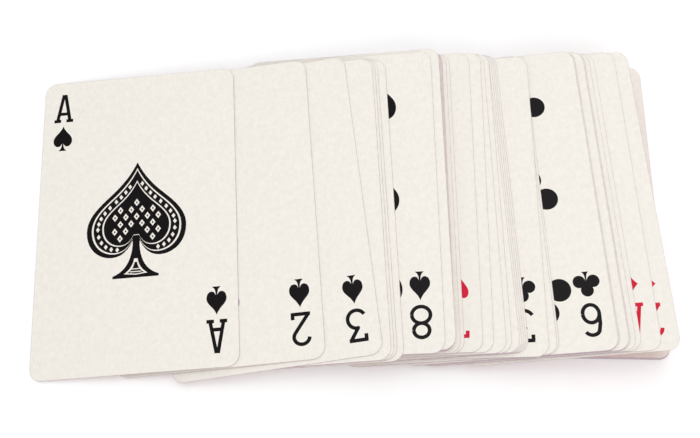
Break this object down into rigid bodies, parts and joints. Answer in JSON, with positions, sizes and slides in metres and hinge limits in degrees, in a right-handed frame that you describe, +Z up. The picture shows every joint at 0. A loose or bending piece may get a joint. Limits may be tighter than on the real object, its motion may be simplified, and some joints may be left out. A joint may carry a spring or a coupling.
{
  "type": "playing card deck",
  "caption": "Pack of plain-indexed playing cards spread face up in a ribbon, each card a loose round-cornered plate that can be drawn out.",
  "frame": {"origin": "middle of the spread's footprint, on the table that the deck lies on", "axes": "+X along the ribbon from its top card to its bottom card, +Y towards the tops of the cards, +Z up"},
  "size_m": [0.181, 0.0954, 0.0129],
  "materials": {
    "card_stock": "smooth matt coated card, printed in black and red, red back"
  },
  "bodies": {
    "ace_of_spades": {"ace_of_spades": "card_stock"},
    "two_of_spades": {"two_of_spades": "card_stock"},
    "three_of_spades": {"three_of_spades": "card_stock"},
    "four_of_spades": {"four_of_spades": "card_stock"},
    "five_of_spades": {"five_of_spades": "card_stock"},
    "six_of_spades": {"six_of_spades": "card_stock"},
    "seven_of_spades": {"seven_of_spades": "card_stock"},
    "eight_of_spades": {"eight_of_spades": "card_stock"},
    "nine_of_spades": {"nine_of_spades": "card_stock"},
    "ten_of_spades": {"ten_of_spades": "card_stock"},
    "jack_of_spades": {"jack_of_spades": "card_stock"},
    "queen_of_spades": {"queen_of_spades": "card_stock"},
    "king_of_spades": {"king_of_spades": "card_stock"},
    "ace_of_hearts": {"ace_of_hearts": "card_stock"},
    "two_of_hearts": {"two_of_hearts": "card_stock"},
    "three_of_hearts": {"three_of_hearts": "card_stock"},
    "four_of_hearts": {"four_of_hearts": "card_stock"},
    "five_of_hearts": {"five_of_hearts": "card_stock"},
    "six_of_hearts": {"six_of_hearts": "card_stock"},
    "seven_of_hearts": {"seven_of_hearts": "card_stock"},
    "eight_of_hearts": {"eight_of_hearts": "card_stock"},
    "nine_of_hearts": {"nine_of_hearts": "card_stock"},
    "ten_of_hearts": {"ten_of_hearts": "card_stock"},
    "jack_of_hearts": {"jack_of_hearts": "card_stock"},
    "queen_of_hearts": {"queen_of_hearts": "card_stock"},
    "king_of_hearts": {"king_of_hearts": "card_stock"},
    "ace_of_clubs": {"ace_of_clubs": "card_stock"},
    "two_of_clubs": {"two_of_clubs": "card_stock"},
    "three_of_clubs": {"three_of_clubs": "card_stock"},
    "four_of_clubs": {"four_of_clubs": "card_stock"},
    "five_of_clubs": {"five_of_clubs": "card_stock"},
    "six_of_clubs": {"six_of_clubs": "card_stock"},
    "seven_of_clubs": {"seven_of_clubs": "card_stock"},
    "eight_of_clubs": {"eight_of_clubs": "card_stock"},
    "nine_of_clubs": {"nine_of_clubs": "card_stock"},
    "ten_of_clubs": {"ten_of_clubs": "card_stock"},
    "jack_of_clubs": {"jack_of_clubs": "card_stock"},
    "queen_of_clubs": {"queen_of_clubs": "card_stock"},
    "king_of_clubs": {"king_of_clubs": "card_stock"},
    "ace_of_diamonds": {"ace_of_diamonds": "card_stock"},
    "two_of_diamonds": {"two_of_diamonds": "card_stock"},
    "three_of_diamonds": {"three_of_diamonds": "card_stock"},
    "four_of_diamonds": {"four_of_diamonds": "card_stock"},
    "five_of_diamonds": {"five_of_diamonds": "card_stock"},
    "six_of_diamonds": {"six_of_diamonds": "card_stock"},
    "seven_of_diamonds": {"seven_of_diamonds": "card_stock"},
    "eight_of_diamonds": {"eight_of_diamonds": "card_stock"},
    "nine_of_diamonds": {"nine_of_diamonds": "card_stock"},
    "ten_of_diamonds": {"ten_of_diamonds": "card_stock"},
    "jack_of_diamonds": {"jack_of_diamonds": "card_stock"},
    "queen_of_diamonds": {"queen_of_diamonds": "card_stock"},
    "king_of_diamonds": {"king_of_diamonds": "card_stock"}
  },
  "joints": [
    {"name": "draw_ace_of_spades", "type": "slide", "parent": "king_of_diamonds", "child": "ace_of_spades", "axis": [0, -1, 0], "range_m": [0, 0.1]},
    {"name": "draw_two_of_spades", "type": "slide", "parent": "king_of_diamonds", "child": "two_of_spades", "axis": [0, -1, 0], "range_m": [0, 0.1]},
    {"name": "draw_three_of_spades", "type": "slide", "parent": "king_of_diamonds", "child": "three_of_spades", "axis": [0, -1, 0], "range_m": [0, 0.1]},
    {"name": "draw_four_of_spades", "type": "slide", "parent": "king_of_diamonds", "child": "four_of_spades", "axis": [0, -1, 0], "range_m": [0, 0.1]},
    {"name": "draw_five_of_spades", "type": "slide", "parent": "king_of_diamonds", "child": "five_of_spades", "axis": [0, -1, 0], "range_m": [0, 0.1]},
    {"name": "draw_six_of_spades", "type": "slide", "parent": "king_of_diamonds", "child": "six_of_spades", "axis": [0, -1, 0], "range_m": [0, 0.1]},
    {"name": "draw_seven_of_spades", "type": "slide", "parent": "king_of_diamonds", "child": "seven_of_spades", "axis": [0, -1, 0], "range_m": [0, 0.1]},
    {"name": "draw_eight_of_spades", "type": "slide", "parent": "king_of_diamonds", "child": "eight_of_spades", "axis": [0, -1, 0], "range_m": [0, 0.1]},
    {"name": "draw_nine_of_spades", "type": "slide", "parent": "king_of_diamonds", "child": "nine_of_spades", "axis": [0, -1, 0], "range_m": [0, 0.1]},
    {"name": "draw_ten_of_spades", "type": "slide", "parent": "king_of_diamonds", "child": "ten_of_spades", "axis": [0, -1, 0], "range_m": [0, 0.1]},
    {"name": "draw_jack_of_spades", "type": "slide", "parent": "king_of_diamonds", "child": "jack_of_spades", "axis": [0, -1, 0], "range_m": [0, 0.1]},
    {"name": "draw_queen_of_spades", "type": "slide", "parent": "king_of_diamonds", "child": "queen_of_spades", "axis": [0, -1, 0], "range_m": [0, 0.1]},
    {"name": "draw_king_of_spades", "type": "slide", "parent": "king_of_diamonds", "child": "king_of_spades", "axis": [0, -1, 0], "range_m": [0, 0.1]},
    {"name": "draw_ace_of_hearts", "type": "slide", "parent": "king_of_diamonds", "child": "ace_of_hearts", "axis": [0, -1, 0], "range_m": [0, 0.1]},
    {"name": "draw_two_of_hearts", "type": "slide", "parent": "king_of_diamonds", "child": "two_of_hearts", "axis": [0, -1, 0], "range_m": [0, 0.1]},
    {"name": "draw_three_of_hearts", "type": "slide", "parent": "king_of_diamonds", "child": "three_of_hearts", "axis": [0, -1, 0], "range_m": [0, 0.1]},
    {"name": "draw_four_of_hearts", "type": "slide", "parent": "king_of_diamonds", "child": "four_of_hearts", "axis": [0, -1, 0], "range_m": [0, 0.1]},
    {"name": "draw_five_of_hearts", "type": "slide", "parent": "king_of_diamonds", "child": "five_of_hearts", "axis": [0, -1, 0], "range_m": [0, 0.1]},
    {"name": "draw_six_of_hearts", "type": "slide", "parent": "king_of_diamonds", "child": "six_of_hearts", "axis": [0, -1, 0], "range_m": [0, 0.1]},
    {"name": "draw_seven_of_hearts", "type": "slide", "parent": "king_of_diamonds", "child": "seven_of_hearts", "axis": [0, -1, 0], "range_m": [0, 0.1]},
    {"name": "draw_eight_of_hearts", "type": "slide", "parent": "king_of_diamonds", "child": "eight_of_hearts", "axis": [0, -1, 0], "range_m": [0, 0.1]},
    {"name": "draw_nine_of_hearts", "type": "slide", "parent": "king_of_diamonds", "child": "nine_of_hearts", "axis": [0, -1, 0], "range_m": [0, 0.1]},
    {"name": "draw_ten_of_hearts", "type": "slide", "parent": "king_of_diamonds", "child": "ten_of_hearts", "axis": [0, -1, 0], "range_m": [0, 0.1]},
    {"name": "draw_jack_of_hearts", "type": "slide", "parent": "king_of_diamonds", "child": "jack_of_hearts", "axis": [0, -1, 0], "range_m": [0, 0.1]},
    {"name": "draw_queen_of_hearts", "type": "slide", "parent": "king_of_diamonds", "child": "queen_of_hearts", "axis": [0, -1, 0], "range_m": [0, 0.1]},
    {"name": "draw_king_of_hearts", "type": "slide", "parent": "king_of_diamonds", "child": "king_of_hearts", "axis": [0, -1, 0], "range_m": [0, 0.1]},
    {"name": "draw_ace_of_clubs", "type": "slide", "parent": "king_of_diamonds", "child": "ace_of_clubs", "axis": [0, -1, 0], "range_m": [0, 0.1]},
    {"name": "draw_two_of_clubs", "type": "slide", "parent": "king_of_diamonds", "child": "two_of_clubs", "axis": [0, -1, 0], "range_m": [0, 0.1]},
    {"name": "draw_three_of_clubs", "type": "slide", "parent": "king_of_diamonds", "child": "three_of_clubs", "axis": [0, -1, 0], "range_m": [0, 0.1]},
    {"name": "draw_four_of_clubs", "type": "slide", "parent": "king_of_diamonds", "child": "four_of_clubs", "axis": [0, -1, 0], "range_m": [0, 0.1]},
    {"name": "draw_five_of_clubs", "type": "slide", "parent": "king_of_diamonds", "child": "five_of_clubs", "axis": [0, -1, 0], "range_m": [0, 0.1]},
    {"name": "draw_six_of_clubs", "type": "slide", "parent": "king_of_diamonds", "child": "six_of_clubs", "axis": [0, -1, 0], "range_m": [0, 0.1]},
    {"name": "draw_seven_of_clubs", "type": "slide", "parent": "king_of_diamonds", "child": "seven_of_clubs", "axis": [0, -1, 0], "range_m": [0, 0.1]},
    {"name": "draw_eight_of_clubs", "type": "slide", "parent": "king_of_diamonds", "child": "eight_of_clubs", "axis": [0, -1, 0], "range_m": [0, 0.1]},
    {"name": "draw_nine_of_clubs", "type": "slide", "parent": "king_of_diamonds", "child": "nine_of_clubs", "axis": [0, -1, 0], "range_m": [0, 0.1]},
    {"name": "draw_ten_of_clubs", "type": "slide", "parent": "king_of_diamonds", "child": "ten_of_clubs", "axis": [0, -1, 0], "range_m": [0, 0.1]},
    {"name": "draw_jack_of_clubs", "type": "slide", "parent": "king_of_diamonds", "child": "jack_of_clubs", "axis": [0, -1, 0], "range_m": [0, 0.1]},
    {"name": "draw_queen_of_clubs", "type": "slide", "parent": "king_of_diamonds", "child": "queen_of_clubs", "axis": [0, -1, 0], "range_m": [0, 0.1]},
    {"name": "draw_king_of_clubs", "type": "slide", "parent": "king_of_diamonds", "child": "king_of_clubs", "axis": [0, -1, 0], "range_m": [0, 0.1]},
    {"name": "draw_ace_of_diamonds", "type": "slide", "parent": "king_of_diamonds", "child": "ace_of_diamonds", "axis": [0, -1, 0], "range_m": [0, 0.1]},
    {"name": "draw_two_of_diamonds", "type": "slide", "parent": "king_of_diamonds", "child": "two_of_diamonds", "axis": [0, -1, 0], "range_m": [0, 0.1]},
    {"name": "draw_three_of_diamonds", "type": "slide", "parent": "king_of_diamonds", "child": "three_of_diamonds", "axis": [0, -1, 0], "range_m": [0, 0.1]},
    {"name": "draw_four_of_diamonds", "type": "slide", "parent": "king_of_diamonds", "child": "four_of_diamonds", "axis": [0, -1, 0], "range_m": [0, 0.1]},
    {"name": "draw_five_of_diamonds", "type": "slide", "parent": "king_of_diamonds", "child": "five_of_diamonds", "axis": [0, -1, 0], "range_m": [0, 0.1]},
    {"name": "draw_six_of_diamonds", "type": "slide", "parent": "king_of_diamonds", "child": "six_of_diamonds", "axis": [0, -1, 0], "range_m": [0, 0.1]},
    {"name": "draw_seven_of_diamonds", "type": "slide", "parent": "king_of_diamonds", "child": "seven_of_diamonds", "axis": [0, -1, 0], "range_m": [0, 0.1]},
    {"name": "draw_eight_of_diamonds", "type": "slide", "parent": "king_of_diamonds", "child": "eight_of_diamonds", "axis": [0, -1, 0], "range_m": [0, 0.1]},
    {"name": "draw_nine_of_diamonds", "type": "slide", "parent": "king_of_diamonds", "child": "nine_of_diamonds", "axis": [0, -1, 0], "range_m": [0, 0.1]},
    {"name": "draw_ten_of_diamonds", "type": "slide", "parent": "king_of_diamonds", "child": "ten_of_diamonds", "axis": [0, -1, 0], "range_m": [0, 0.1]},
    {"name": "draw_jack_of_diamonds", "type": "slide", "parent": "king_of_diamonds", "child": "jack_of_diamonds", "axis": [0, -1, 0], "range_m": [0, 0.1]},
    {"name": "draw_queen_of_diamonds", "type": "slide", "parent": "king_of_diamonds", "child": "queen_of_diamonds", "axis": [0, -1, 0], "range_m": [0, 0.1]}
  ]
}
